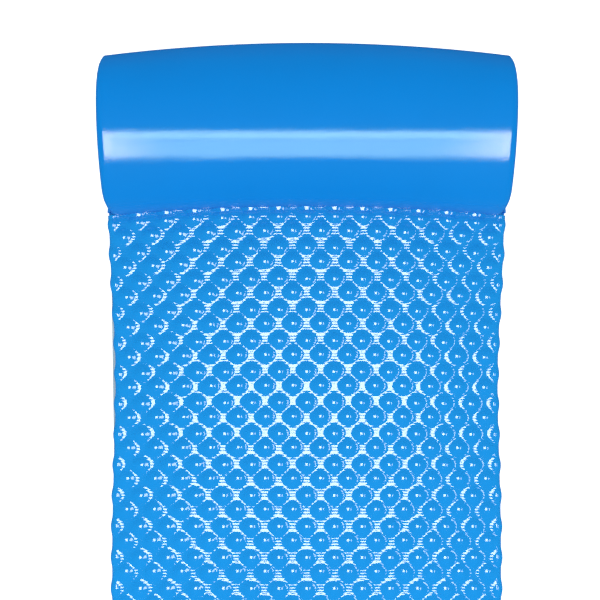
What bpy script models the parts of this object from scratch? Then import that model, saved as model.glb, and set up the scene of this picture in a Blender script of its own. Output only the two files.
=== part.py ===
"""Foam pool float with a rolled pillow, lying flat on its smooth underside.

Metres, +Z up. The foot is at -Y and the pillow at +Y. The origin is on the underside, in the middle of
the float's outline. One foam sheet runs from the foot to the head end, where it turns up and over a foam
log and comes down onto its own embossed face. A vinyl coat covers all that shows.
"""
import math

import bmesh
import bpy

# Plan of the sheet
LENGTH = 1.778
WIDTH = 0.660
WAIST_DRAW_IN = 0.023
FOOT_DRAW_IN = 0.008
WAIST_FROM_PILLOW = 0.300
WAIST_TO_FOOT_RUN = 0.350
FOOT_CORNER_RADIUS = 0.050
HEAD_BOW = 0.020
BOW_RUN = 0.790

# Thicknesses
FOAM_THICKNESS = 0.030
COAT_THICKNESS = 0.0008
BOND_THICKNESS = 0.0005
SEAT_GAP = 0.0003

# Embossed bumps of the upper face
BUMP_HEIGHT = 0.006
BUMP_PITCH = 0.0471
BUMP_ROW_SPACING = 0.0257
ODD_ROW_ADVANCE = 0.0025
FIRST_ROW_FROM_PILLOW = 0.0145

# Side profile of the pillow
PILLOW_HEIGHT = 0.148
PILLOW_DEPTH = 0.262
CREST_FROM_BACK = 0.098
BACK_RADIUS = 0.048
BACK_CENTRE_HEIGHT = 0.072
HEEL_RADIUS = 0.060
NOSE_RADIUS = 0.060
NOSE_CENTRE_HEIGHT = 0.041

# Facets
CORNER_FACETS = 4
TURN_FACETS = 4
CREST_BACK_FACETS = 2
CREST_FRONT_FACETS = 4
UNDER_LOG_STATIONS = 2
HEEL_SEAM = 1
LEAST_ROW_SHARE = 0.1
BAND_SIDES = 4
WELD_DISTANCE = 0.00001

# Depths below the smooth outer face, one layer after another
FOAM_DEPTH = COAT_THICKNESS + SEAT_GAP
FOAM_TOP_DEPTH = FOAM_DEPTH + FOAM_THICKNESS
COAT_SEAT_DEPTH = FOAM_TOP_DEPTH + SEAT_GAP
COAT_TOP_DEPTH = COAT_SEAT_DEPTH + COAT_THICKNESS
LOG_WRAP_DEPTH = FOAM_TOP_DEPTH + SEAT_GAP
CORE_BOND_TOP_DEPTH = FOAM_TOP_DEPTH + SEAT_GAP + BOND_THICKNESS
LOG_BASE_DEPTH = CORE_BOND_TOP_DEPTH + SEAT_GAP
FLAP_BOND_BASE = COAT_TOP_DEPTH + SEAT_GAP
FLAP_BOND_TOP = FLAP_BOND_BASE + BOND_THICKNESS
FLAP_BASE = FLAP_BOND_TOP + SEAT_GAP

# Lines across the float
FOOT_Y = -LENGTH / 2
BACK_Y = LENGTH / 2
NOSE_Y = BACK_Y - PILLOW_DEPTH
WAIST_Y = NOSE_Y - WAIST_FROM_PILLOW
FOAM_FOOT_Y = FOOT_Y + FOAM_DEPTH
FOAM_CORNER_RADIUS = FOOT_CORNER_RADIUS - FOAM_DEPTH
CORNER_CENTRE_Y = FOOT_Y + FOOT_CORNER_RADIUS

COLUMN_COUNT = 2 * round(WIDTH / BUMP_PITCH)
LATTICE_START_Y = NOSE_Y - FIRST_ROW_FROM_PILLOW
ROW_COUNT = round((LATTICE_START_Y - FOAM_FOOT_Y) / BUMP_ROW_SPACING)
ROW_STEP = (LATTICE_START_Y - FOAM_FOOT_Y) / ROW_COUNT
ODD_ROW_STEP = ROW_STEP - ODD_ROW_ADVANCE

COLLECTION_NAME = "pool_float"
COAT_COLOUR = (0.012, 0.230, 0.690, 1.0)
FOAM_COLOUR = (0.560, 0.760, 0.860, 1.0)
CORE_COLOUR = (0.740, 0.770, 0.790, 1.0)
BOND_COLOUR = (0.830, 0.780, 0.600, 1.0)
COAT_ROUGHNESS = 0.25
FOAM_ROUGHNESS = 0.90
BOND_ROUGHNESS = 0.45


def clear_scene():
    """Remove every object, so that the script can be run again."""
    for old in list(bpy.data.objects):
        bpy.data.objects.remove(old, do_unlink=True)


def make_material(name, colour, roughness):
    """Return a Principled material with one colour and one roughness."""
    material = bpy.data.materials.new(name)
    material.use_nodes = True
    shader = material.node_tree.nodes["Principled BSDF"]
    shader.inputs["Base Color"].default_value = colour
    shader.inputs["Roughness"].default_value = roughness
    shader.inputs["Metallic"].default_value = 0.0
    return material


def ease(share):
    """Go from 0 to 1 with a soft start and end."""
    share = min(max(share, 0.0), 1.0)
    return share * share * (3.0 - 2.0 * share)


def foam_half_width(y):
    """Half of the foam's width at y, without the rounding of the foot corners."""
    draw_in = 0.0
    if y < NOSE_Y:
        rise = max((y - WAIST_Y) / WAIST_FROM_PILLOW, 0.0)
        draw_in = WAIST_DRAW_IN * (1.0 - rise * rise)
    if y < WAIST_Y:
        draw_in -= (WAIST_DRAW_IN - FOOT_DRAW_IN) * ease((WAIST_Y - y) / WAIST_TO_FOOT_RUN)
    return (WIDTH - draw_in) / 2 - FOAM_DEPTH


def across(share, y):
    """Place a column on x. Near the foot the outer columns close in along the rounded corners."""
    half = foam_half_width(y)
    reach = abs(share) * half
    below = min(max(CORNER_CENTRE_Y - y, 0.0), FOAM_CORNER_RADIUS)
    loss = FOAM_CORNER_RADIUS - math.sqrt(FOAM_CORNER_RADIUS ** 2 - below ** 2)
    start = half - 2 * FOAM_CORNER_RADIUS
    reach -= loss * max(reach - start, 0.0) / (half - start)
    return math.copysign(reach, share)


def outward(x, y):
    """Direction in plan that points away from the foam's outline."""
    corner_x = foam_half_width(y) - FOAM_CORNER_RADIUS
    if y >= CORNER_CENTRE_Y:
        return math.copysign(1.0, x), 0.0
    side = max(abs(x) - corner_x, 0.0)
    down = y - CORNER_CENTRE_Y
    span = math.hypot(side, down)
    return math.copysign(side / span, x), down / span


def row_y(row):
    """Line of a row of bumps. Each odd row lies nearer to the row before it than to the next."""
    return LATTICE_START_Y - ROW_STEP * row + ODD_ROW_ADVANCE * (row % 2)


def bump_rise(column, y):
    """Height of the embossed face above its valleys, on a column at y."""
    if y >= NOSE_Y:
        return 0.0
    if y > LATTICE_START_Y:
        fade = (NOSE_Y - y) / FIRST_ROW_FROM_PILLOW
        return BUMP_HEIGHT * fade * ((column + 1) % 2)
    rest = (LATTICE_START_Y - y + WELD_DISTANCE) % (2 * ROW_STEP)
    if rest < ODD_ROW_STEP:
        peak = 1.0 - rest / ODD_ROW_STEP
    else:
        peak = (rest - ODD_ROW_STEP) / (2 * ROW_STEP - ODD_ROW_STEP)
    return BUMP_HEIGHT * (1.0 - peak if column % 2 else peak)


def bow(x, y):
    """How far the float's sides lie behind its middle towards the foot."""
    strength = ease((y - BACK_Y + BOW_RUN) / BOW_RUN)
    return HEAD_BOW * strength * (2 * x / WIDTH) ** 2


def arc(centre_y, centre_z, radius, start, end, facets):
    """Stations on an arc: point on the outer face and the unit vector into the foam."""
    stations = []
    for step in range(facets + 1):
        angle = start + (end - start) * step / facets
        out_y = math.cos(angle)
        out_z = math.sin(angle)
        stations.append((centre_y + radius * out_y, centre_z + radius * out_z, -out_y, -out_z))
    return stations


def crest_radius(reach, drop, end_radius):
    """Radius of an arc that leaves the crest level and runs smoothly into a smaller end arc.

    The end arc's centre lies at reach along the pillow from the crest and at drop below it.
    """
    return (reach ** 2 + drop ** 2 - end_radius ** 2) / (2 * (drop - end_radius))


def pillow_arcs():
    """Stations of the smooth face from the heel, up the back and over the crest to the nose."""
    crest_y = BACK_Y - CREST_FROM_BACK
    back_y = BACK_Y - BACK_RADIUS
    nose_y = NOSE_Y + NOSE_RADIUS
    back_radius = crest_radius(back_y - crest_y, PILLOW_HEIGHT - BACK_CENTRE_HEIGHT, BACK_RADIUS)
    front_radius = crest_radius(crest_y - nose_y, PILLOW_HEIGHT - NOSE_CENTRE_HEIGHT, NOSE_RADIUS)
    back_z = PILLOW_HEIGHT - back_radius
    front_z = PILLOW_HEIGHT - front_radius
    back_end = math.atan2(BACK_CENTRE_HEIGHT - back_z, back_y - crest_y)
    nose_start = math.atan2(NOSE_CENTRE_HEIGHT - front_z, nose_y - crest_y)
    heel = min(HEEL_RADIUS, BACK_CENTRE_HEIGHT)
    top = math.pi / 2
    stations = arc(BACK_Y - heel, heel, heel, -top, 0.0, TURN_FACETS)
    stations += arc(back_y, BACK_CENTRE_HEIGHT, BACK_RADIUS, 0.0, back_end, TURN_FACETS)
    stations += arc(crest_y, back_z, back_radius, back_end, top, CREST_BACK_FACETS)[1:]
    stations += arc(crest_y, front_z, front_radius, top, nose_start, CREST_FRONT_FACETS)[1:]
    stations += arc(nose_y, NOSE_CENTRE_HEIGHT, NOSE_RADIUS, nose_start, math.pi, TURN_FACETS)[1:]
    return stations


def sheet_rows():
    """Lines across the mat at the foot corners, on each row of bumps and at the nose."""
    corner = [CORNER_CENTRE_Y - FOAM_CORNER_RADIUS * math.cos(math.pi / 2 * step / CORNER_FACETS)
              for step in range(CORNER_FACETS + 1)]
    lattice = [row_y(row) for row in range(ROW_COUNT)]
    clear = ROW_STEP * LEAST_ROW_SHARE
    lattice = [y for y in lattice if all(abs(y - other) > clear for other in corner)]
    return sorted(corner + lattice) + [NOSE_Y]


def flat(y):
    """Station on the flat underside."""
    return (y, 0.0, 0.0, 1.0)


def under_log():
    """Stations below the log, between the flap's inner face and the heel."""
    first = NOSE_Y + FOAM_TOP_DEPTH
    last = pillow_arcs()[0][0]
    step = (last - first) / UNDER_LOG_STATIONS
    return [flat(first + step * number) for number in range(UNDER_LOG_STATIONS)]


def flap_end(height):
    """Station at the foot of the nose, on its upright front."""
    return (NOSE_Y, height, 1.0, 0.0)


def shares(count):
    """Columns from side to side, as shares of the half width."""
    return [2 * column / count - 1 for column in range(count + 1)]


def start_layer(stations, columns):
    """Grid whose vertices remember their place on the smooth face and the way into the foam."""
    mesh = bmesh.new()
    outer = mesh.verts.layers.float_vector.new("outer")
    inward = mesh.verts.layers.float_vector.new("inward")
    bmesh.ops.create_grid(mesh, x_segments=len(columns) - 1, y_segments=len(stations) - 1, size=1.0)
    mesh.verts.ensure_lookup_table()
    for row, (y, z, in_y, in_z) in enumerate(stations):
        for number, share in enumerate(columns):
            vertex = mesh.verts[row * len(columns) + number]
            vertex[outer] = (across(share, y), y, z)
            vertex[inward] = (0.0, in_y, in_z)
    return mesh, outer, inward


def sink(vertices, outer, inward, depth):
    """Move vertices to a depth below the smooth face."""
    for vertex in vertices:
        vertex.co = vertex[outer] + vertex[inward] * depth


def raise_bumps(mesh, column_count):
    """Lift the peaks of the lattice and fold each cell along its valley."""
    mesh.verts.ensure_lookup_table()
    for number, vertex in enumerate(mesh.verts):
        vertex.co.z += bump_rise(number % column_count, vertex.co.y)
    for face in list(mesh.faces):
        if max(vertex.co.y for vertex in face.verts) > NOSE_Y + SEAT_GAP:
            continue
        first, second, third, fourth = face.verts
        if first.co.z + third.co.z < second.co.z + fourth.co.z:
            bmesh.utils.face_split(face, first, third)
        else:
            bmesh.utils.face_split(face, second, fourth)


def runs_across(edge, outer):
    """Tell whether an edge of a layer runs from side to side, away from the foot."""
    first, second = edge.verts
    level = abs(first[outer].y - second[outer].y) < WELD_DISTANCE
    apart = abs(first[outer].x - second[outer].x) > WELD_DISTANCE
    return level and apart and first[outer].y > CORNER_CENTRE_Y


def widen(mesh, outer, last_y=LENGTH):
    """Carry a coat's sides and foot out past the foam, as far as the coat is thick."""
    edges = [edge for edge in mesh.edges if edge.is_boundary and not runs_across(edge, outer)
             and all(vertex[outer].y < last_y for vertex in edge.verts)]
    made = bmesh.ops.extrude_edge_only(mesh, edges=edges)["geom"]
    for vertex in made:
        if isinstance(vertex, bmesh.types.BMVert):
            out_x, out_y = outward(vertex[outer].x, vertex[outer].y)
            shift = (out_x * FOAM_DEPTH, out_y * FOAM_DEPTH, 0.0)
            vertex[outer] = [a + b for a, b in zip(vertex[outer], shift)]
            vertex.co = [a + b for a, b in zip(vertex.co, shift)]


def thicken(mesh, outer, inward, depth):
    """Close a layer with a copy of its faces at another depth."""
    made = bmesh.ops.extrude_face_region(mesh, geom=list(mesh.faces), use_keep_orig=True)["geom"]
    sink([item for item in made if isinstance(item, bmesh.types.BMVert)], outer, inward, depth)


def join_flat_faces(mesh, height):
    """Make one face of all faces that lie flat at a height."""
    faces = [face for face in mesh.faces
             if all(abs(vertex.co.z - height) < WELD_DISTANCE for vertex in face.verts)]
    bmesh.ops.dissolve_faces(mesh, faces=faces)


def halve_columns(mesh, column_count):
    """Drop every other column behind the nose, where no bumps need it."""
    mesh.verts.ensure_lookup_table()
    spare = {vertex for number, vertex in enumerate(mesh.verts)
             if number % column_count % 2 and vertex.co.y > NOSE_Y + SEAT_GAP}
    edges = [edge for edge in mesh.edges if edge.verts[0] in spare and edge.verts[1] in spare]
    bmesh.ops.dissolve_edges(mesh, edges=edges, use_verts=True)


def finish(mesh, name, material, collection):
    """Bow the piece towards the head, turn its faces out and put it in the collection."""
    bmesh.ops.remove_doubles(mesh, verts=list(mesh.verts), dist=WELD_DISTANCE)
    for vertex in mesh.verts:
        vertex.co.y -= bow(vertex.co.x, vertex.co.y)
    bmesh.ops.recalc_face_normals(mesh, faces=list(mesh.faces))
    data = bpy.data.meshes.new(name)
    mesh.to_mesh(data)
    mesh.free()
    piece = bpy.data.objects.new(name, data)
    piece.data.materials.append(material)
    collection.objects.link(piece)
    return piece


def make_mat_foam(material, collection):
    """The foam sheet: embossed mat, turn round the back of the log, and flap."""
    columns = shares(COLUMN_COUNT)
    stations = [flat(y) for y in sheet_rows()] + under_log() + pillow_arcs() + [flap_end(FLAP_BASE)]
    mesh, outer, inward = start_layer(stations, columns)
    sink(mesh.verts, outer, inward, FOAM_TOP_DEPTH)
    raise_bumps(mesh, len(columns))
    halve_columns(mesh, len(columns))
    thicken(mesh, outer, inward, FOAM_DEPTH)
    join_flat_faces(mesh, FOAM_DEPTH)
    finish(mesh, "mat_foam", material, collection)


def make_embossed_coat(material, collection):
    """Vinyl film over the bumps, tucked under the flap."""
    columns = shares(COLUMN_COUNT)
    stations = [flat(y) for y in sheet_rows()] + [flat(NOSE_Y + FOAM_TOP_DEPTH)]
    mesh, outer, inward = start_layer(stations, columns)
    sink(mesh.verts, outer, inward, COAT_TOP_DEPTH)
    raise_bumps(mesh, len(columns))
    widen(mesh, outer, NOSE_Y + SEAT_GAP)
    made = bmesh.ops.extrude_face_region(mesh, geom=list(mesh.faces), use_keep_orig=True)["geom"]
    for vertex in made:
        if isinstance(vertex, bmesh.types.BMVert):
            vertex.co.z -= COAT_THICKNESS
    finish(mesh, "coat_embossed_face", material, collection)


def make_underside_coat(material, collection):
    """Vinyl film below the mat and the pillow, as far as the first facet of the heel."""
    stations = [flat(y) for y in sheet_rows()] + under_log() + pillow_arcs()[:HEEL_SEAM + 1]
    mesh, outer, inward = start_layer(stations, shares(COLUMN_COUNT // 2))
    sink(mesh.verts, outer, inward, 0.0)
    widen(mesh, outer)
    thicken(mesh, outer, inward, COAT_THICKNESS)
    join_flat_faces(mesh, 0.0)
    join_flat_faces(mesh, COAT_THICKNESS)
    finish(mesh, "coat_underside", material, collection)


def make_pillow_coat(material, collection):
    """Vinyl film from the heel up the back, over the crest and down the nose."""
    seam, following = pillow_arcs()[HEEL_SEAM:HEEL_SEAM + 2]
    share = SEAT_GAP / math.dist(seam[:2], following[:2])
    start = tuple(a + (b - a) * share for a, b in zip(seam, following))
    stations = [start] + pillow_arcs()[HEEL_SEAM + 1:] + [flap_end(FLAP_BOND_BASE)]
    mesh, outer, inward = start_layer(stations, shares(COLUMN_COUNT // 2))
    sink(mesh.verts, outer, inward, 0.0)
    widen(mesh, outer)
    thicken(mesh, outer, inward, COAT_THICKNESS)
    finish(mesh, "coat_pillow_face", material, collection)


def log_loop():
    """Stations round the log, starting at the corner between the mat and the flap."""
    return [(NOSE_Y, 0.0, 1.0, 1.0)] + under_log()[1:] + pillow_arcs()


def make_swept(name, depths, side_columns, material, collection):
    """Closed side profile of the pillow carried from column to column, with flat ends."""
    stations = log_loop()
    mesh = bmesh.new()
    bmesh.ops.create_grid(mesh, x_segments=len(side_columns) - 1, y_segments=len(stations), size=1.0)
    mesh.verts.ensure_lookup_table()
    closed = list(zip(stations + stations[:1], depths + depths[:1]))
    for row, ((y, z, in_y, in_z), depth) in enumerate(closed):
        for number, x in enumerate(side_columns):
            vertex = mesh.verts[row * len(side_columns) + number]
            vertex.co = (x, y + in_y * depth, z + in_z * depth)
    bmesh.ops.remove_doubles(mesh, verts=list(mesh.verts), dist=WELD_DISTANCE)
    ends = [edge for edge in mesh.edges if edge.is_boundary]
    bmesh.ops.holes_fill(mesh, edges=ends, sides=0)
    return finish(mesh, name, material, collection)


def make_log(material, collection):
    """Foam log inside the pillow, seated on its bond and clear of the sheet round it."""
    half = foam_half_width(BACK_Y)
    flat_stations = UNDER_LOG_STATIONS + 1
    depths = [LOG_BASE_DEPTH] * flat_stations
    depths += [LOG_WRAP_DEPTH] * (len(log_loop()) - flat_stations)
    columns = [share * half for share in shares(COLUMN_COUNT // 2)]
    make_swept("pillow_core", depths, columns, material, collection)


def make_pillow_end(name, side, material, collection):
    """Vinyl film on one end of the pillow and on the side of the mat below it."""
    inner = foam_half_width(BACK_Y) + SEAT_GAP
    columns = sorted([side * inner, side * (inner + COAT_THICKNESS)])
    depths = [FOAM_DEPTH] * len(log_loop())
    make_swept(name, depths, columns, material, collection)


def make_bond(name, first_y, last_y, base, top, material, collection):
    """Film of adhesive between two flat faces."""
    mesh, outer, inward = start_layer([flat(first_y), flat(last_y)], shares(COLUMN_COUNT // 2))
    sink(mesh.verts, outer, inward, top)
    thicken(mesh, outer, inward, base)
    finish(mesh, name, material, collection)


def make_edge_band(material, collection):
    """Vinyl film on the mat's sides and foot, from one pillow end round to the other."""
    rows = sheet_rows()
    head = NOSE_Y + COAT_THICKNESS
    path = [(-1.0, head, 0)]
    path += [(-1.0, y, 0) for y in reversed(rows)]
    path += [(share, rows[0], number) for number, share in enumerate(shares(COLUMN_COUNT))][1:-1]
    path += [(1.0, y, COLUMN_COUNT) for y in rows]
    path += [(1.0, head, COLUMN_COUNT)]
    mesh = bmesh.new()
    bmesh.ops.create_grid(mesh, x_segments=BAND_SIDES, y_segments=len(path) - 1, size=1.0)
    mesh.verts.ensure_lookup_table()
    for number, (share, y, column) in enumerate(path):
        x = across(share, y)
        out_x, out_y = outward(x, y)
        top = FOAM_TOP_DEPTH + bump_rise(column, y)
        section = [(SEAT_GAP, FOAM_DEPTH), (FOAM_DEPTH, FOAM_DEPTH), (FOAM_DEPTH, top), (SEAT_GAP, top)]
        for corner, (offset, z) in enumerate(section + section[:1]):
            vertex = mesh.verts[number * (BAND_SIDES + 1) + corner]
            vertex.co = (x + out_x * offset, y + out_y * offset, z)
    bmesh.ops.remove_doubles(mesh, verts=list(mesh.verts), dist=WELD_DISTANCE)
    ends = [edge for edge in mesh.edges if edge.is_boundary]
    bmesh.ops.holes_fill(mesh, edges=ends, sides=0)
    finish(mesh, "coat_edge_band", material, collection)


def main():
    """Build the float."""
    clear_scene()
    collection = bpy.data.collections.new(COLLECTION_NAME)
    bpy.context.scene.collection.children.link(collection)
    coat = make_material("vinyl_coat", COAT_COLOUR, COAT_ROUGHNESS)
    foam = make_material("closed_cell_foam", FOAM_COLOUR, FOAM_ROUGHNESS)
    core = make_material("core_foam", CORE_COLOUR, FOAM_ROUGHNESS)
    bond = make_material("adhesive", BOND_COLOUR, BOND_ROUGHNESS)
    make_mat_foam(foam, collection)
    make_embossed_coat(coat, collection)
    make_underside_coat(coat, collection)
    make_pillow_coat(coat, collection)
    make_edge_band(coat, collection)
    make_pillow_end("coat_pillow_end_left", -1.0, coat, collection)
    make_pillow_end("coat_pillow_end_right", 1.0, coat, collection)
    make_log(core, collection)
    log_front = NOSE_Y + LOG_BASE_DEPTH
    log_back = pillow_arcs()[0][0]
    flap_back = NOSE_Y + FOAM_TOP_DEPTH
    make_bond("core_bond", log_front, log_back, LOG_WRAP_DEPTH, CORE_BOND_TOP_DEPTH, bond, collection)
    make_bond("flap_bond", NOSE_Y + FOAM_DEPTH, flap_back, FLAP_BOND_BASE, FLAP_BOND_TOP, bond, collection)


main()
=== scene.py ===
"""Foam pool float with a rolled pillow, seen from straight above.

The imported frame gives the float's size and the places of its parts. The vinyl skin, the foam inside it and
the pillow's log are modelled in that frame, then dressed, lit and framed by the camera. Metres, +Z up: the
foot is at -Y and the pillow at +Y.
"""

import logging
import math
from dataclasses import dataclass, replace
from enum import Enum
from typing import Any, Callable

import bmesh
import bpy
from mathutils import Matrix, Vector


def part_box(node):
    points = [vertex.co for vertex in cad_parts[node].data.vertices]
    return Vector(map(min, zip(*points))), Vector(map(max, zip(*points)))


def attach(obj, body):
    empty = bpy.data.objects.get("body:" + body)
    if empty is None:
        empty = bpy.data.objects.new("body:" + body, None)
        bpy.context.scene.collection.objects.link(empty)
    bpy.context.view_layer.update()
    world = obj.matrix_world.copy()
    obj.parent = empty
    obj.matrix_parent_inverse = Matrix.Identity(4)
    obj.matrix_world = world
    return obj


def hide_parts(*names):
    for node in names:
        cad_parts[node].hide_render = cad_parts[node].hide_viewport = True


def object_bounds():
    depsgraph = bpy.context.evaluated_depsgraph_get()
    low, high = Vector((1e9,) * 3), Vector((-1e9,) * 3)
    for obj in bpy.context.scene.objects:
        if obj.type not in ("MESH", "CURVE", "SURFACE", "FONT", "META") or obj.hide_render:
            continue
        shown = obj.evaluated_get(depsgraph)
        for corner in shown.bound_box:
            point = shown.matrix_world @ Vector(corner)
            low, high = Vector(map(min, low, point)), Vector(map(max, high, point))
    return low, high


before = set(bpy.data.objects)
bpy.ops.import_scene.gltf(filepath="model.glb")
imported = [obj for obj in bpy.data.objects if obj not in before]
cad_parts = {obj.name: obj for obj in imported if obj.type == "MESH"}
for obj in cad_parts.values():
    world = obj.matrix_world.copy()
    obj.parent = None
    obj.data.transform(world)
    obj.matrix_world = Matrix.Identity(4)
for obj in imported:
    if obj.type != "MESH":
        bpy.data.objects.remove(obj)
CAD_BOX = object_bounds()

LOG = logging.getLogger("pool_float")
BODY = "root"
WELD_DISTANCE = 0.00001
SMOOTH_ANGLE = math.radians(50.0)
QUARTER = math.pi / 2

# Both parts of a way in that runs about halfway between level and upright.
DIAGONAL = 0.7
# Share of the nose's tuck at which its front turns in under the flap.
NOSE_SLANT = 0.3
# How far each film of glue starts behind the front of what it holds, and how far behind the nose the flap's
# film ends.
BOND_SET_BACK = 0.004
FLAP_BOND_END = 0.028


class Slot(Enum):
    """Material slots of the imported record."""

    VINYL = "vinyl_coat"
    FOAM = "foam"
    CORE = "core_foam"
    ADHESIVE = "adhesive"


class Zone(Enum):
    """Stretches of the sheet whose sides end in different ways."""

    MAT = 0
    PILLOW = 1


class Side(Enum):
    """Sides of the float as seen from above with the pillow at the top, with the sign of x."""

    LEFT = -1
    RIGHT = 1


def ease(share: float) -> float:
    """Go from 0 to 1 with a soft start and end."""
    share = min(max(share, 0.0), 1.0)
    return share * share * (3.0 - 2.0 * share)


def spread(start: float, end: float, steps: int) -> list[float]:
    """Even places from start to end, both included."""
    return [start + (end - start) * step / steps for step in range(steps + 1)]


@dataclass(frozen=True)
class FloatPlan:
    """Outline of the float from above and its levels, in metres."""

    width: float
    foot_y: float
    back_y: float
    nose_y: float
    height: float
    valley_z: float
    wrap_depth: float
    pillow_swell: float = 0.0038
    nose_draw_in: float = 0.0015
    swell_start: float = 0.002
    swell_run: float = 0.022
    waist_draw_in: float = 0.0226
    foot_draw_in: float = 0.0115
    waist_from_nose: float = 0.285
    waist_to_foot_run: float = 0.285
    foot_corner_radius: float = 0.050
    head_bow: float = 0.0212
    bow_run: float = 0.790
    back_corner_draw_in: float = 0.0025
    back_corner_run: float = 0.030
    coat: float = 0.0008
    seat_gap: float = 0.0003

    @classmethod
    def from_frame(cls) -> "FloatPlan":
        """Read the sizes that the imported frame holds.

        Returns:
            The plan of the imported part.
        """
        low, high = CAD_BOX
        wrap_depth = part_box("core_bond")[0][2]
        return cls(
            width=high.x - low.x,
            foot_y=low.y,
            back_y=high.y,
            nose_y=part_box("flap_bond")[1][1] - wrap_depth + cls.seat_gap,
            height=high.z,
            valley_z=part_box("coat_embossed_face")[0][2] + cls.coat,
            wrap_depth=wrap_depth,
        )

    @property
    def corner_y(self) -> float:
        """Line on which the foot corners start."""
        return self.foot_y + self.foot_corner_radius

    def half_width(self, y: float) -> float:
        """Half of the outline's width at y, without the foot corners.

        Args:
            y: place along the float before the head's bow.

        Returns:
            Half of the width in metres.
        """
        behind = y - self.nose_y
        beyond_waist = -behind - self.waist_from_nose
        swell = ease((behind - self.swell_start) / self.swell_run)
        draw_in = self.nose_draw_in
        draw_in -= (self.nose_draw_in + self.pillow_swell) * swell
        draw_in += (self.waist_draw_in - self.nose_draw_in) * ease(-behind / self.waist_from_nose)
        draw_in -= (self.waist_draw_in - self.foot_draw_in) * ease(beyond_waist / self.waist_to_foot_run)
        corner = max(y - self.back_y + self.back_corner_run, 0.0) / self.back_corner_run
        return (self.width - draw_in) / 2 - self.back_corner_draw_in * corner ** 2

    def reach(self, y: float, inset: float) -> float:
        """Largest x at y on the outline drawn in by an inset, foot corners included.

        Args:
            y: place along the float before the head's bow.
            inset: distance from the outline.

        Returns:
            Half of the inset outline's width at y.
        """
        half = self.half_width(y)
        if y >= self.corner_y:
            return half - inset
        radius = self.foot_corner_radius - inset
        below = min(self.corner_y - y, radius)
        return half - self.foot_corner_radius + math.sqrt(radius ** 2 - below ** 2)

    def outward(self, x: float, y: float) -> tuple[float, float]:
        """Direction in plan that points away from the outline.

        Args:
            x: place across the float.
            y: place along the float before the head's bow.

        Returns:
            A unit vector as x and y.
        """
        if y >= self.corner_y - WELD_DISTANCE:
            return math.copysign(1.0, x), 0.0
        side = max(abs(x) - self.half_width(y) + self.foot_corner_radius, 0.0)
        down = y - self.corner_y
        span = math.hypot(side, down)
        return math.copysign(side / span, x), down / span

    def bow(self, y: float) -> float:
        """How far the float's sides lie behind its middle on the mat, at y."""
        return self.head_bow * ease((y - self.back_y + self.bow_run) / self.bow_run)

    def corner_rows(self, inset: float, steps: int) -> list[float]:
        """Lines across the mat that follow the foot corners, for an outline drawn in by an inset."""
        radius = self.foot_corner_radius - inset
        return [self.corner_y - radius * math.cos(angle) for angle in spread(0.0, QUARTER, steps)]


@dataclass(frozen=True)
class Station:
    """A line across the sheet: its place on the outer face and the way into the foam."""

    y: float
    z: float
    in_y: float
    in_z: float
    bow: float
    zone: Zone
    end_run: float = 1.0
    draw_in: float = 0.0

    def sunk(self, depth: float) -> tuple[float, float]:
        """Place of this station at a depth below the outer face, as y and z."""
        return self.y + self.in_y * depth, self.z + self.in_z * depth

    def shifted(self, depth: float, way: float = 1.0) -> "Station":
        """Station moved into the foam by a depth, with its way in kept or, at -1, turned round."""
        y, z = self.sunk(depth)
        return replace(self, y=y, z=z, in_y=way * self.in_y, in_z=way * self.in_z)


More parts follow.
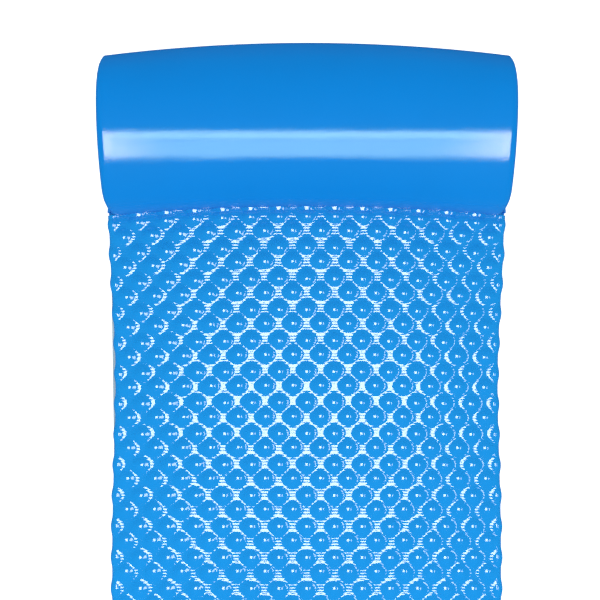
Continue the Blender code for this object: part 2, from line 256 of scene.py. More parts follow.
@dataclass(frozen=True)
class PillowProfile:
    """Side profile of the pillow as arcs that run smoothly into each other."""

    plan: FloatPlan
    crest_from_back: float = 0.098
    back_radius: float = 0.048
    back_centre_height: float = 0.072
    heel_radius: float = 0.060
    nose_radius: float = 0.060
    nose_centre_height: float = 0.041
    straight_from_back: float = 0.150
    nose_tuck: float = 0.003
    back_end_tightness: float = 0.7
    foot_draw_in: float = 0.0034
    foot_draw_start: float = 2.40
    turn_steps: int = 12
    crest_steps: int = 16
    under_steps: int = 8

    def crest_radius(self, reach: float, drop: float, end_radius: float) -> float:
        """Radius of an arc that leaves the crest level and meets an end arc at that reach and drop."""
        return (reach ** 2 + drop ** 2 - end_radius ** 2) / (2 * (drop - end_radius))

    def crest_bow(self, y: float) -> float:
        """Bow of the upper face, which is straight along the middle of the pillow.

        Args:
            y: place along the float before the bow.

        Returns:
            How far the pillow's ends lie behind its middle.
        """
        plan = self.plan
        straight_y = plan.back_y - self.straight_from_back
        if y > straight_y:
            return plan.head_bow * ((y - straight_y) / self.straight_from_back) ** 2
        return plan.bow(plan.nose_y) * ((straight_y - y) / (straight_y - plan.nose_y)) ** 2

    def arc(self, centre: tuple[float, float], radius: float, angles: tuple[float, float],
            steps: int) -> list[Station]:
        """Stations on one arc of the profile.

        Args:
            centre: y and z of the arc's centre.
            radius: radius of the outer face.
            angles: first and last angle from +Y towards +Z.
            steps: number of steps.

        Returns:
            The stations, both ends included.
        """
        stations = []
        foot_run = math.pi - self.foot_draw_start
        for angle in spread(*angles, steps):
            out_y, out_z = math.cos(angle), math.sin(angle)
            y, z = centre[0] + radius * out_y, centre[1] + radius * out_z
            bow = self.plan.bow(y) if angle < 0.0 else self.crest_bow(y)
            end_run = 1.0 - self.back_end_tightness * max(out_y, 0.0)
            draw_in = self.foot_draw_in * ease((angle - self.foot_draw_start) / foot_run)
            stations.append(Station(y, z, -out_y, -out_z, bow, Zone.PILLOW, end_run, draw_in))
        return stations

    def arcs(self) -> list[Station]:
        """Stations from the heel, up the back and over the crest to the foot of the nose.

        Returns:
            The stations in that order.
        """
        plan = self.plan
        crest_y = plan.back_y - self.crest_from_back
        heel = (self.heel_y, self.heel_radius)
        back = (plan.back_y - self.back_radius, self.back_centre_height)
        nose = (plan.nose_y + self.nose_radius, self.nose_centre_height)
        back_radius = self.crest_radius(back[0] - crest_y, plan.height - back[1], self.back_radius)
        front_radius = self.crest_radius(crest_y - nose[0], plan.height - nose[1], self.nose_radius)
        back_z = plan.height - back_radius
        front_z = plan.height - front_radius
        back_end = math.atan2(back[1] - back_z, back[0] - crest_y)
        nose_start = math.atan2(nose[1] - front_z, nose[0] - crest_y)
        stations = self.arc(heel, self.heel_radius, (-QUARTER, 0.0), self.turn_steps)
        stations += self.arc(back, self.back_radius, (0.0, back_end), self.turn_steps)
        stations += self.arc((crest_y, back_z), back_radius, (back_end, QUARTER), self.crest_steps // 2)[1:]
        stations += self.arc((crest_y, front_z), front_radius, (QUARTER, nose_start), self.crest_steps)[1:]
        stations += self.arc(nose, self.nose_radius, (nose_start, math.pi), self.turn_steps)[1:]
        return stations

    @property
    def heel_y(self) -> float:
        """Line on which the underside starts to turn up."""
        return self.plan.back_y - self.heel_radius

    def flap_station(self, behind: float, z: float, in_y: float, in_z: float) -> Station:
        """Station at the foot of the flap.

        Args:
            behind: distance behind the nose.
            z: its level.
            in_y: part of the way into the foam along the float.
            in_z: part of the way into the foam upwards.

        Returns:
            The station.
        """
        plan = self.plan
        bow = plan.bow(plan.nose_y)
        return Station(plan.nose_y + behind, z, in_y, in_z, bow, Zone.PILLOW, draw_in=self.foot_draw_in)

    def nose_foot(self) -> list[Station]:
        """Stations down the upright front of the nose and in below it.

        Returns:
            The three stations.
        """
        seat, tuck = self.plan.valley_z + self.plan.seat_gap, self.nose_tuck
        slant = tuck * NOSE_SLANT
        return [self.flap_station(0.0, seat + tuck, 1.0, 0.0),
                self.flap_station(slant, seat + slant, DIAGONAL, DIAGONAL),
                self.flap_station(tuck, seat, 0.0, 1.0)]

    def loop(self) -> list[Station]:
        """Closed run of stations round the log, from the corner behind the nose.

        Returns:
            The stations, each once.
        """
        plan = self.plan
        corner = Station(plan.nose_y, 0.0, 1.0, 1.0, plan.bow(plan.nose_y), Zone.PILLOW)
        lines = spread(plan.nose_y + plan.wrap_depth, self.heel_y, self.under_steps)
        return [corner] + [flat_station(plan, y) for y in lines[1:-1]] + self.arcs()


def flat_station(plan: FloatPlan, y: float) -> Station:
    """Station on the flat underside at y."""
    zone = Zone.PILLOW if y > plan.nose_y else Zone.MAT
    return Station(y, 0.0, 0.0, 1.0, plan.bow(y), zone)


@dataclass(frozen=True)
class BumpLattice:
    """Round bumps of the embossed face, on a lattice whose odd rows lie nearer to the row before."""

    plan: FloatPlan
    pitch: float = 0.0471
    row_spacing: float = 0.0257
    odd_row_advance: float = 0.0030
    first_row_from_nose: float = 0.0145
    fold_from_nose: float = 0.0006
    weld_slope: float = 0.60
    weld_run: float = 0.0056
    weld_core: float = 0.0070
    weld_reach: float = 0.0170
    ridge_height: float = 0.0006
    ridge_run: float = 0.0130
    crown_end: float = 0.0070
    crown_slope: float = 0.40
    flank_end: float = 0.0125
    flank_slope: float = 0.45
    fillet_end: float = 0.0175
    fillet_slope: float = 0.20
    valley_slope: float = 0.02
    crease_blend: float = 0.0003

    @property
    def half_pitches(self) -> int:
        """Number of half pitches across the mat."""
        return 2 * round(self.plan.width / self.pitch)

    @property
    def first_y(self) -> float:
        """Line of the first row of bumps."""
        return self.plan.nose_y - self.first_row_from_nose

    @property
    def row_count(self) -> int:
        """Number of rows from the nose to the foot."""
        return round((self.first_y - self.plan.foot_y) / self.row_spacing)

    @property
    def row_step(self) -> float:
        """Mean distance of the rows that makes the last one end at the foot."""
        return (self.first_y - self.plan.foot_y) / self.row_count

    def row_y(self, row: int) -> float:
        """Line of a row of bumps."""
        return self.first_y - self.row_step * row + self.odd_row_advance * (row % 2)

    def slopes(self) -> list[tuple[float, float]]:
        """Corners of a bump's slope, each as a distance from its middle and the slope there."""
        return [(0.0, 0.0), (self.crown_end, self.crown_slope), (self.flank_end, self.flank_slope),
                (self.fillet_end, self.fillet_slope), (self.cell_size, self.valley_slope)]

    @property
    def cell_size(self) -> float:
        """Mean distance from a bump's middle to the middles of the valleys next to it."""
        return (self.pitch / 2 + self.row_step) / 2

    def dome(self, distance: float) -> float:
        """Height of a bump at a distance from its middle: crown, flank, fillet and shallow valley.

        Args:
            distance: distance in plan in metres.

        Returns:
            The height above the valley's middle in metres.
        """
        height = 0.0
        corners = self.slopes()
        for (start, first), (end, last) in zip(corners, corners[1:]):
            if distance < end:
                near = max(distance, start)
                slope = first + (last - first) * (near - start) / (end - start)
                height += (slope + last) / 2 * (end - near)
        return height

    def row_before(self, y: float) -> int:
        """Number of the last row between the nose and a line across the mat.

        Args:
            y: the line.

        Returns:
            The row's number, or -1 before the first row.
        """
        if y > self.first_y:
            return -1
        pair, rest = divmod(self.first_y - y, 2 * self.row_step)
        return 2 * int(pair) + int(rest >= self.row_step - self.odd_row_advance)

    def rise(self, x: float, y: float) -> float:
        """Height of the embossed face above its valleys.

        Args:
            x: place across the float.
            y: place along the float before the head's bow.

        Returns:
            The height in metres.
        """
        if y > self.plan.nose_y + self.fold_from_nose:
            return 0.0
        step_x = 2 * self.plan.half_width(y) / self.half_pitches
        across = x / step_x + self.half_pitches / 2
        column, row = math.floor(across), self.row_before(y)
        near_x, far_x = (across - column) * step_x, (column + 1 - across) * step_x
        if (column + row) % 2:
            near_x, far_x = far_x, near_x
        bumps = ((near_x, row), (far_x, row + 1), (near_x, row + 2), (far_x, row - 1),
                 (far_x + step_x, row), (near_x + step_x, row + 1))
        heights = [self.dome(math.hypot(beside, self.row_y(number) - y)) if number >= 0 else 0.0
                   for beside, number in bumps]
        top, blend = max(heights), self.crease_blend
        crease = blend * math.log(sum(math.exp((height - top) / blend) for height in heights))
        return top + crease + self.weld(far_x if row < 0 else near_x, self.plan.nose_y - y)

    def weld(self, beside: float, behind: float) -> float:
        """Height that the weld to the flap adds: a low ridge and a web above each bump.

        Args:
            beside: distance across the float from the nearest bump of the first row.
            behind: distance from the nose towards the foot.

        Returns:
            The added height in metres.
        """
        share = 1.0 - ease((beside - self.weld_core) / (self.weld_reach - self.weld_core))
        web = self.weld_slope * max(self.weld_run - behind, 0.0) * share
        top = self.first_row_from_nose
        ridge = ease(behind / top) if behind < top else 1.0 - ease((behind - top) / self.ridge_run)
        return web + self.ridge_height * ridge


class Surface:
    """A mesh that starts as a grid or ring and grows out from its border, loop by loop."""

    def __init__(self, name: str) -> None:
        """Take the active primitive and name it.

        Args:
            name: the piece's name.
        """
        self.piece = bpy.context.object
        self.piece.name = name
        self.piece.data.name = name
        LOG.info("%s: %d vertices at the start", name, len(self.piece.data.vertices))

    @classmethod
    def grid(cls, name: str, columns: int, rows: int) -> "Surface":
        """Start from a flat grid.

        Args:
            name: the piece's name.
            columns: number of steps across.
            rows: number of steps along.

        Returns:
            The surface.
        """
        deselect_all()
        bpy.ops.mesh.primitive_grid_add(x_subdivisions=columns, y_subdivisions=rows, size=1.0)
        return cls(name)

    @classmethod
    def ring(cls, name: str, points: int) -> "Surface":
        """Start from an open ring of edges.

        Args:
            name: the piece's name.
            points: number of its vertices.

        Returns:
            The surface.
        """
        deselect_all()
        bpy.ops.mesh.primitive_circle_add(vertices=points, fill_type="NOTHING")
        return cls(name)

    def number_vertices(self) -> None:
        """Give each vertex its number as an attribute that later loops inherit."""
        numbers = self.piece.data.attributes.new("anchor", "INT", "POINT")
        numbers.data.foreach_set("value", list(range(len(self.piece.data.vertices))))

    def move(self, place: Callable[[int], Vector]) -> None:
        """Put every vertex of the start shape in the place that its number gives."""
        for vertex in self.piece.data.vertices:
            vertex.co = place(vertex.index)

    def edit(self, keep: Callable[[int, int], bool]) -> None:
        """Enter edit mode, join doubles and select a part of the border.

        Args:
            keep: tells from an edge's two vertex numbers whether it is selected.
        """
        deselect_all()
        self.piece.select_set(True)
        bpy.context.view_layer.objects.active = self.piece
        bpy.ops.object.mode_set(mode="EDIT")
        bpy.ops.mesh.select_all(action="SELECT")
        bpy.ops.mesh.remove_doubles(threshold=WELD_DISTANCE)
        bpy.ops.mesh.select_mode(type="EDGE")
        bpy.ops.mesh.select_all(action="DESELECT")
        mesh = bmesh.from_edit_mesh(self.piece.data)
        anchor = mesh.verts.layers.int["anchor"]
        for edge in mesh.edges:
            if len(edge.link_faces) < 2 and keep(edge.verts[0][anchor], edge.verts[1][anchor]):
                edge.select_set(True)
        bmesh.update_edit_mesh(self.piece.data)

    def grow(self, place: Callable[[int], Vector]) -> None:
        """Extrude the selected border once and put the new loop in its place.

        Args:
            place: gives a new vertex's place from the number of the vertex that it grew from.
        """
        bpy.ops.mesh.extrude_edges_move()
        mesh = bmesh.from_edit_mesh(self.piece.data)
        anchor = mesh.verts.layers.int["anchor"]
        for vertex in mesh.verts:
            if vertex.select:
                vertex.co = place(vertex[anchor])
        bmesh.update_edit_mesh(self.piece.data)

    def leave(self) -> None:
        """Join doubles, turn the faces out and leave edit mode."""
        bpy.ops.mesh.select_all(action="SELECT")
        bpy.ops.mesh.remove_doubles(threshold=WELD_DISTANCE)
        bpy.ops.mesh.dissolve_degenerate(threshold=WELD_DISTANCE)
        bpy.ops.mesh.select_all(action="SELECT")
        bpy.ops.mesh.normals_make_consistent(inside=False)
        bpy.ops.object.mode_set(mode="OBJECT")

    def thicken(self, thickness: float) -> None:
        """Give an open surface its wall, inwards from the faces' outer side.

        Args:
            thickness: thickness of the wall.
        """
        wall = self.piece.modifiers.new("Wall", "SOLIDIFY")
        wall.thickness = thickness
        wall.offset = -1.0
        bpy.ops.object.modifier_apply(modifier=wall.name)

    def finish(self, slot: Slot, *replaced: str) -> bpy.types.Object:
        """Shade the piece smooth and tie it to the frame.

        Args:
            slot: material slot of the imported record; not used.
            replaced: nodes that it stands for.

        Returns:
            The finished piece.
        """
        deselect_all()
        self.piece.select_set(True)
        bpy.context.view_layer.objects.active = self.piece
        bpy.ops.object.shade_smooth_by_angle(angle=SMOOTH_ANGLE)
        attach(self.piece, BODY)
        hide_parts(*replaced)
        LOG.info("%s: %d faces", self.piece.name, len(self.piece.data.polygons))
        return self.piece


def deselect_all() -> None:
    """Clear the selection, because an operator acts on all that is selected."""
    bpy.ops.object.select_all(action="DESELECT")


def bowed(plan: FloatPlan, x: float, y: float, z: float, bow: float) -> Vector:
    """Place with the head's bow: the sides lie behind the middle."""
    return Vector((x, y - bow * (2 * x / plan.width) ** 2, z))


def dress(piece: bpy.types.Object, material: bpy.types.Material) -> None:
    """Give a piece its material as the only one.

    Args:
        piece: the piece.
        material: its finish.
    """
    piece.data.materials.clear()
    piece.data.materials.append(material)
    LOG.info("%s: %s", piece.name, material.name)


@dataclass
class Part:
    """A piece of the float, which is modelled by its own class and then dressed."""

    plan: FloatPlan

    def build(self) -> bpy.types.Object:
        """Model the piece, which each class of part does in its own way."""
        raise NotImplementedError

    def dressed(self, material: bpy.types.Material) -> bpy.types.Object:
        """Model the piece and give it its material.

        Args:
            material: its finish.

        Returns:
            The finished piece.
        """
        piece = self.build()
        dress(piece, material)
        return piece


@dataclass
class EmbossedFace(Part):
    """Vinyl over the bumps, with the rounded rim and the upper half of the mat's sides."""

    lattice: BumpLattice
    rim_radius: float = 0.009
    rim_steps: int = 6
    side_bulge: float = 0.35
    side_foot: float = 0.0162
    tongue: float = 0.0300
    tongue_rim: float = 0.6
    cell_steps: int = 14
    corner_steps: int = 10
    weld_steps: int = 8
    inner_steps: int = 3

    def columns(self) -> list[float]:
        """Places across the mat, from rim to rim.

        Returns:
            The places in half pitches.
        """
        count = self.lattice.half_pitches
        rim = self.rim_radius / self.plan.width * count
        # A line less than half a step from the rim's line is left out.
        clear = 0.5 / self.cell_steps
        inner = [place for place in spread(0.0, count, count * self.cell_steps)
                 if rim + clear < place < count - rim - clear]
        return [rim] + inner + [count - rim]

    def rows(self) -> list[float]:
        """Lines across the mat, from the foot's rim to the end of the tongue under the flap.

        Returns:
            The lines' y in rising order.
        """
        plan, lattice = self.plan, self.lattice
        corner = plan.corner_rows(self.rim_radius, self.corner_steps)
        lines = []
        for row in range(lattice.row_count):
            lines += spread(lattice.row_y(row), lattice.row_y(row + 1), self.cell_steps)[:-1]
        # A line less than a third of a step from one of the foot corners' lines is left out.
        clear = lattice.row_step / self.cell_steps / 3
        lines = [y for y in lines if y > corner[0] and all(abs(y - other) > clear for other in corner)]
        weld_y, fold_y = plan.nose_y - lattice.weld_run, plan.nose_y + lattice.fold_from_nose
        lines += spread(lattice.first_y, weld_y, self.weld_steps)[1:-1]
        lines += spread(weld_y, plan.nose_y, self.weld_steps)[:-1]
        lines += [plan.nose_y - plan.seat_gap, fold_y, fold_y + plan.seat_gap, plan.nose_y + self.tongue]
        return sorted(corner + lines)

    def point(self, x: float, y: float, tilt: float, share: float) -> Vector:
        """Place on the outer face with the bump's rise along the face's normal.

        Args:
            x: place across the float on the rim's inner line.
            y: place along the float on the rim's inner line.
            tilt: angle round the rim, 0 on top and a right angle on the side.
            share: share of the bump's rise that is left there.

        Returns:
            The place, before the bow.
        """
        plan = self.plan
        out_x, out_y = plan.outward(x, y)
        run = self.rim_radius * math.sin(tilt)
        rim_x, rim_y = x + out_x * run, y + out_y * run
        rise = self.lattice.rise(rim_x, rim_y) * share
        side = rise * math.sin(tilt)
        z = plan.valley_z - self.rim_radius * (1.0 - math.cos(tilt)) + rise * math.cos(tilt)
        return Vector((rim_x + out_x * side, rim_y + out_y * side, z))

    def build(self) -> bpy.types.Object:
        """Model the embossed face.

        Returns:
            The finished piece.
        """
        plan = self.plan
        columns, rows = self.columns(), self.rows()
        surface = Surface.grid("vinyl_embossed_face", len(columns) - 1, len(rows) - 1)
        half_count = self.lattice.half_pitches / 2
        bases = []
        for y in rows:
            half = plan.half_width(y)
            reach = plan.reach(y, self.rim_radius)
            for column in columns:
                x = (column / half_count - 1.0) * half
                bases.append((math.copysign(min(abs(x), reach), x), y))
        surface.number_vertices()

        def bow(point: Vector) -> Vector:
            """Add the head's bow to a place."""
            return bowed(plan, point.x, point.y, point.z, plan.bow(point.y))

        def top(number: int) -> Vector:
            """Place of a vertex of the grid."""
            return bow(self.point(*bases[number], 0.0, 1.0))

        def under_flap(number: int) -> bool:
            """Tell whether a vertex belongs to the tongue under the flap."""
            return bases[number][1] > plan.nose_y + self.lattice.fold_from_nose

        def outer(number: int, tilt: float, drop: float) -> Vector:
            """Place of a rim vertex; the tongue's rim stays flat and narrow.

            Args:
                number: number of the grid vertex that it grew from.
                tilt: angle round the rim, 0 on top and a right angle on the side.
                drop: share of the way down the side.

            Returns:
                The place, with the bow.
            """
            x, y = bases[number]
            turned = tilt / QUARTER
            share = 1.0 - (1.0 - self.side_bulge) * turned
            if under_flap(number):
                rim = self.tongue_rim * turned * self.rim_radius
                return bow(Vector((x + math.copysign(rim, x), y, plan.valley_z)))
            place = self.point(x, y, tilt, share * (1.0 - drop))
            place.z += (self.side_foot - place.z) * drop
            return bow(place)

        def inner(number: int, run: float, z: float) -> Vector:
            """Place on the inner side of the wall.

            Args:
                number: number of the grid vertex that it grew from.
                run: distance outwards from that vertex.
                z: level on the mat; the tongue keeps its own.

            Returns:
                The place, with the bow.
            """
            x, y = bases[number]
            if under_flap(number):
                return bow(Vector((x, y, plan.valley_z - plan.coat)))
            out_x, out_y = plan.outward(x, y)
            return bow(Vector((x + out_x * run, y + out_y * run, z)))

        surface.move(top)
        surface.edit(lambda first, second: True)
        for angle in spread(0.0, QUARTER, self.rim_steps)[1:]:
            surface.grow(lambda number, tilt=angle: outer(number, tilt, 0.0))
        surface.grow(lambda number: outer(number, QUARTER, 1.0))
        inner_radius = self.rim_radius - plan.coat
        ceiling = plan.valley_z - plan.coat
        surface.grow(lambda number: inner(number, inner_radius, self.side_foot))
        for tilt in spread(QUARTER, 0.0, self.inner_steps)[:-1]:
            run = inner_radius * math.sin(tilt)
            z = ceiling - inner_radius * (1.0 - math.cos(tilt))
            surface.grow(lambda number, run=run, z=z: inner(number, run, z))
        surface.grow(lambda number: inner(number, 0.0, ceiling))
        bpy.ops.mesh.edge_face_add()
        surface.leave()
        return surface.finish(Slot.VINYL, "coat_embossed_face", "coat_edge_band")


@dataclass
class SmoothFace(Part):
    """Vinyl under the mat, round the back and over the pillow, with its rounded ends."""

    profile: PillowProfile
    end_radius: float = 0.012
    end_steps: int = 8
    groove_radius: float = 0.005
    side_top: float = 0.0158
    column_count: int = 48
    mat_row_count: int = 60
    corner_steps: int = 8
    under_steps: int = 8
    side_steps: int = 6
    groove_tilts: tuple[float, ...] = (20.0, 40.0, 60.0, 80.0)

    def stations(self) -> list[Station]:
        """Lines across the face, from the foot along the underside to the foot of the nose.

        Returns:
            The stations in that order.
        """
        plan = self.plan
        rows = plan.corner_rows(self.end_radius, self.corner_steps)
        rows += spread(plan.corner_y, plan.nose_y, self.mat_row_count)[1:-1]
        rows += [plan.nose_y - plan.seat_gap, plan.nose_y + plan.seat_gap]
        rows += spread(plan.nose_y, self.profile.heel_y, self.under_steps)[1:-1]
        flat = [flat_station(plan, y) for y in rows]
        return flat + self.profile.arcs() + self.profile.nose_foot()

    def side_profile(self, zone: Zone) -> list[tuple[float, float]]:
        """Run and depth of each loop round the side, from the outer face inwards.

        Args:
            zone: stretch of the sheet that the loop passes.

        Returns:
            Pairs of a run sideways and a depth below the outer face.
        """
        radius, groove = self.end_radius, self.groove_radius
        turn = [(radius * math.sin(tilt), radius * (1.0 - math.cos(tilt)))
                for tilt in spread(0.0, QUARTER, self.end_steps)[1:]]
        if zone is Zone.MAT:
            return turn + [(radius, depth) for depth in spread(radius, self.side_top, self.side_steps)[1:]]
        lip = self.plan.wrap_depth - self.plan.coat - groove
        inward = [(radius - groove * (1.0 - math.cos(tilt)), lip + groove * math.sin(tilt))
                  for tilt in map(math.radians, self.groove_tilts)]
        return turn + [(radius, (radius + lip) / 2), (radius, lip)] + inward

    def build(self) -> bpy.types.Object:
        """Model the smooth face.

        Returns:
            The finished piece.
        """
        plan = self.plan
        stations = self.stations()
        surface = Surface.grid("vinyl_smooth_face", self.column_count, len(stations) - 1)
        surface.number_vertices()
        bases = []
        for station in stations:
            inset = self.end_radius * station.end_run + station.draw_in
            half = plan.half_width(station.y) - inset
            reach = plan.reach(station.y, inset)
            for x in spread(-half, half, self.column_count):
                bases.append((math.copysign(min(abs(x), reach), x), station))
        profiles = {zone: self.side_profile(zone) for zone in Zone}

        def place(number: int, run: float, depth: float) -> Vector:
            """Place on the side or on the face.

            Args:
                number: number of the grid vertex that it grew from.
                run: distance sideways from that vertex.
                depth: depth below the outer face.

            Returns:
                The place, with the bow.
            """
            x, station = bases[number]
            out_x, out_y = plan.outward(x, station.y)
            y, z = station.sunk(depth)
            run *= station.end_run
            return bowed(plan, x + out_x * run, y + out_y * run, z, station.bow)

        flap_end = len(bases) - self.column_count - 1
        surface.move(lambda number: place(number, 0.0, 0.0))
        surface.edit(lambda first, second: min(first, second) < flap_end)

        def side(number: int, step: int) -> Vector:
            """Place on a loop round the side."""
            return place(number, *profiles[bases[number][1].zone][step])

        for loop in range(len(profiles[Zone.MAT])):
            surface.grow(lambda number, step=loop: side(number, step))
        surface.leave()
        surface.thicken(plan.coat)
        return surface.finish(Slot.VINYL, "coat_underside", "coat_pillow_face")


@dataclass
class PillowEnd(Part):
    """Vinyl over one end of the log: a crowned oval inside the groove of the rolled sheet."""

    profile: PillowProfile
    side: Side
    skirt: float = 0.009
    set_back: float = 0.0035
    edge_radius: float = 0.005
    edge_steps: int = 4
    crown: float = 0.0015
    crown_steps: int = 6

    def build(self) -> bpy.types.Object:
        """Model the end.

        Returns:
            The finished piece.
        """
        plan = self.plan
        word = self.side.name.lower()
        stations = self.profile.loop()
        skirt_depth = plan.wrap_depth - plan.seat_gap
        face_depth = skirt_depth + self.edge_radius
        centre_y = sum(station.sunk(face_depth)[0] for station in stations) / len(stations)
        centre_z = sum(station.sunk(face_depth)[1] for station in stations) / len(stations)
        surface = Surface.ring(f"vinyl_pillow_end_{word}", len(stations))
        surface.number_vertices()

        def place(number: int, inset: float, depth: float, share: float) -> Vector:
            """Place on the end.

            Args:
                number: number of the station.
                inset: distance from the outline.
                depth: depth below the sheet's outer face.
                share: share of the way out from the middle.

            Returns:
                The place, with the bow.
            """
            station = stations[number]
            y, z = station.sunk(depth)
            y = centre_y + (y - centre_y) * share
            z = centre_z + (z - centre_z) * share
            x = (plan.half_width(station.y) - inset) * share
            x += (plan.half_width(centre_y) - inset) * (1.0 - share)
            bow = station.bow * share + plan.bow(centre_y) * (1.0 - share)
            return bowed(plan, self.side.value * x, y, z, bow)

        surface.move(lambda number: place(number, self.set_back + self.skirt, skirt_depth, 1.0))
        surface.edit(lambda first, second: True)
        for tilt in spread(0.0, QUARTER, self.edge_steps):
            inset = self.set_back + self.edge_radius * (1.0 - math.sin(tilt))
            depth = face_depth - self.edge_radius * math.cos(tilt)
            surface.grow(lambda number, inset=inset, depth=depth: place(number, inset, depth, 1.0))
        for share in spread(1.0, 0.0, self.crown_steps)[1:]:
            inset = self.set_back - self.crown * (1.0 - share ** 2)
            surface.grow(lambda number, inset=inset, share=share: place(number, inset, face_depth, share))
        surface.leave()
        surface.thicken(plan.coat)
        return surface.finish(Slot.VINYL, f"coat_pillow_end_{word}")


@dataclass
class Sweep:
    """Foam solid whose side profile runs across the float and is rounded off at both ends."""

    plan: FloatPlan
    inset: float
    edge_radius: float
    edge_steps: int = 4
    run_steps: int = 12

    def sections(self) -> list[tuple[int, float, float]]:
        """Sections of both rounded ends, from one side to the other.

        Returns:
            For each the side, the inset from the outline and how far the profile shrinks.
        """
        radius = self.edge_radius
        ends = [(self.inset + radius * (1.0 - math.sin(tilt)), radius * (1.0 - math.cos(tilt)))
                for tilt in spread(QUARTER, 0.0, self.edge_steps)]
        left = [(-1, inset, shrink) for inset, shrink in ends]
        right = [(1, inset, shrink) for inset, shrink in reversed(ends)]
        return left + right

    def build(self, name: str, stations: list[Station], slot: Slot, replaced: str) -> bpy.types.Object:
        """Sweep a closed profile across the float.

        Args:
            name: the piece's name.
            stations: the profile's points with the way into the foam.
            slot: its material slot.
            replaced: the node that it stands for.

        Returns:
            The finished piece.
        """
        plan = self.plan

        def place(number: int, side: float, inset: float, shrink: float) -> Vector:
            """Place of a profile point on a section.

            Args:
                number: number of the station.
                side: share of the way to the outline, negative on the left.
                inset: distance from the outline.
                shrink: how far the point lies inside the profile.

            Returns:
                The place, with the bow.
            """
            station = stations[number]
            y, z = station.sunk(shrink)
            return bowed(plan, side * plan.reach(station.y, inset + station.draw_in), y, z, station.bow)

        surface = Surface.ring(name, len(stations))
        surface.number_vertices()
        sections = self.sections()
        surface.move(lambda number: place(number, *sections[0]))
        surface.edit(lambda first, second: True)
        half = len(sections) // 2
        for section in sections[1:half]:
            surface.grow(lambda number, section=section: place(number, *section))
        inset = self.inset + self.edge_radius
        for share in spread(-1.0, 1.0, self.run_steps)[1:-1]:
            surface.grow(lambda number, side=share: place(number, side, inset, 0.0))
        for section in sections[half:]:
            surface.grow(lambda number, section=section: place(number, *section))
        bpy.ops.mesh.select_all(action="SELECT")
        bpy.ops.mesh.fill_holes(sides=0)
        surface.leave()
        return surface.finish(slot, replaced)


@dataclass
class FoamSheet(Part):
    """Closed-cell sheet that makes the mat, turns up at the back and comes down as the flap."""

    profile: PillowProfile
    face_depth: float = 0.0013
    edge_radius: float = 0.010
    foot_steps: int = 4
    mat_steps: int = 30
    under_steps: int = 6

    def stations(self) -> list[Station]:
        """Closed profile of the sheet, inset from the outer face by the coat.

        Returns:
            The stations from the foot along the outer face and back along the inner one.
        """
        plan, depth = self.plan, self.face_depth
        radius = self.edge_radius
        back_depth = plan.wrap_depth - plan.seat_gap
        foot_y = plan.foot_y + depth + radius
        outer = []
        for tilt in spread(0.0, QUARTER, self.foot_steps):
            y, z = foot_y - radius * math.cos(tilt), depth + radius * (1.0 - math.sin(tilt))
            outer.append(Station(y, z, math.cos(tilt), math.sin(tilt), 0.0, Zone.MAT))
        lines = spread(foot_y, plan.nose_y, self.mat_steps)[1:]
        lines += spread(plan.nose_y, self.profile.heel_y, self.under_steps)[1:-1]
        arcs = self.profile.arcs()
        outer += [flat_station(plan, y).shifted(depth) for y in lines]
        outer += [station.shifted(depth) for station in arcs]
        seat = plan.valley_z + 2 * plan.coat + plan.seat_gap
        flap = self.profile.flap_station
        end = [flap(depth, seat + 2 * depth, 1.0, 0.0),
               flap(2 * depth, seat, DIAGONAL, DIAGONAL),
               flap(back_depth - depth, seat, -DIAGONAL, DIAGONAL),
               flap(back_depth, seat + 2 * depth, -1.0, 0.0)]
        inner = [station.shifted(back_depth, -1.0) for station in reversed(arcs)]
        inner += [flat_station(plan, y).shifted(back_depth, -1.0) for y in reversed(lines)]
        for tilt in spread(0.0, QUARTER, self.foot_steps):
            y, z = foot_y - radius * math.sin(tilt), back_depth - radius * (1.0 - math.cos(tilt))
            inner.append(Station(y, z, math.sin(tilt), -math.cos(tilt), 0.0, Zone.MAT))
        return outer + end + inner

    def build(self) -> bpy.types.Object:
        """Model the sheet and return the finished piece."""
        sweep = Sweep(self.plan, self.face_depth, self.edge_radius)
        return sweep.build("foam_sheet", self.stations(), Slot.FOAM, "mat_foam")


@dataclass
class FoamLog(Part):
    """Loose foam log that fills the pillow."""

    profile: PillowProfile
    clearance: float = 0.0011
    end_clearance: float = 0.0050
    edge_radius: float = 0.006

    def build(self) -> bpy.types.Object:
        """Model the log.

        Returns:
            The finished piece.
        """
        depth = self.plan.wrap_depth + self.clearance
        stations = [replace(station.shifted(depth), draw_in=0.0) for station in self.profile.loop()]
        sweep = Sweep(self.plan, self.end_clearance, self.edge_radius)
        return sweep.build("foam_log", stations, Slot.CORE, "pillow_core")


@dataclass
class BondFilm(Part):
    """Film of set adhesive between two layers, a little narrower than the sheet."""

    name: str
    replaced: str
    start_y: float
    end_y: float
    base_z: float
    thickness: float = 0.0005
    inset: float = 0.015
    columns: int = 24
    rows: int = 4

    def build(self) -> bpy.types.Object:
        """Model the film.

        Returns:
            The finished piece.
        """
        plan = self.plan
        surface = Surface.grid(self.name, self.columns, self.rows)
        surface.number_vertices()

        def place(number: int) -> Vector:
            """Place of a vertex of the film's upper side.

            Args:
                number: number of the grid vertex.

            Returns:
                The place, with the bow.
            """
            row, column = divmod(number, self.columns + 1)
            y = self.start_y + (self.end_y - self.start_y) * row / self.rows
            x = (2 * column / self.columns - 1.0) * (plan.half_width(y) - self.inset)
            return bowed(plan, x, y, self.base_z + self.thickness, plan.bow(y))

        surface.move(place)
        surface.edit(lambda first, second: False)
        surface.leave()
        surface.thicken(self.thickness)
        return surface.finish(Slot.ADHESIVE, self.replaced)


@dataclass(frozen=True)
class Finish:
    """Look of one material: its colour in sRGB, its gloss, and its grain and ripples in metres."""

    name: str
    colour: str
    roughness: float
    coat: float = 0.0
    coat_roughness: float = 0.05
    coat_ior: float = 1.5
    grain_size: float = 0.002
    grain_depth: float = 0.0
    ripple_depth: float = 0.0
    fold_roughness: float | None = None


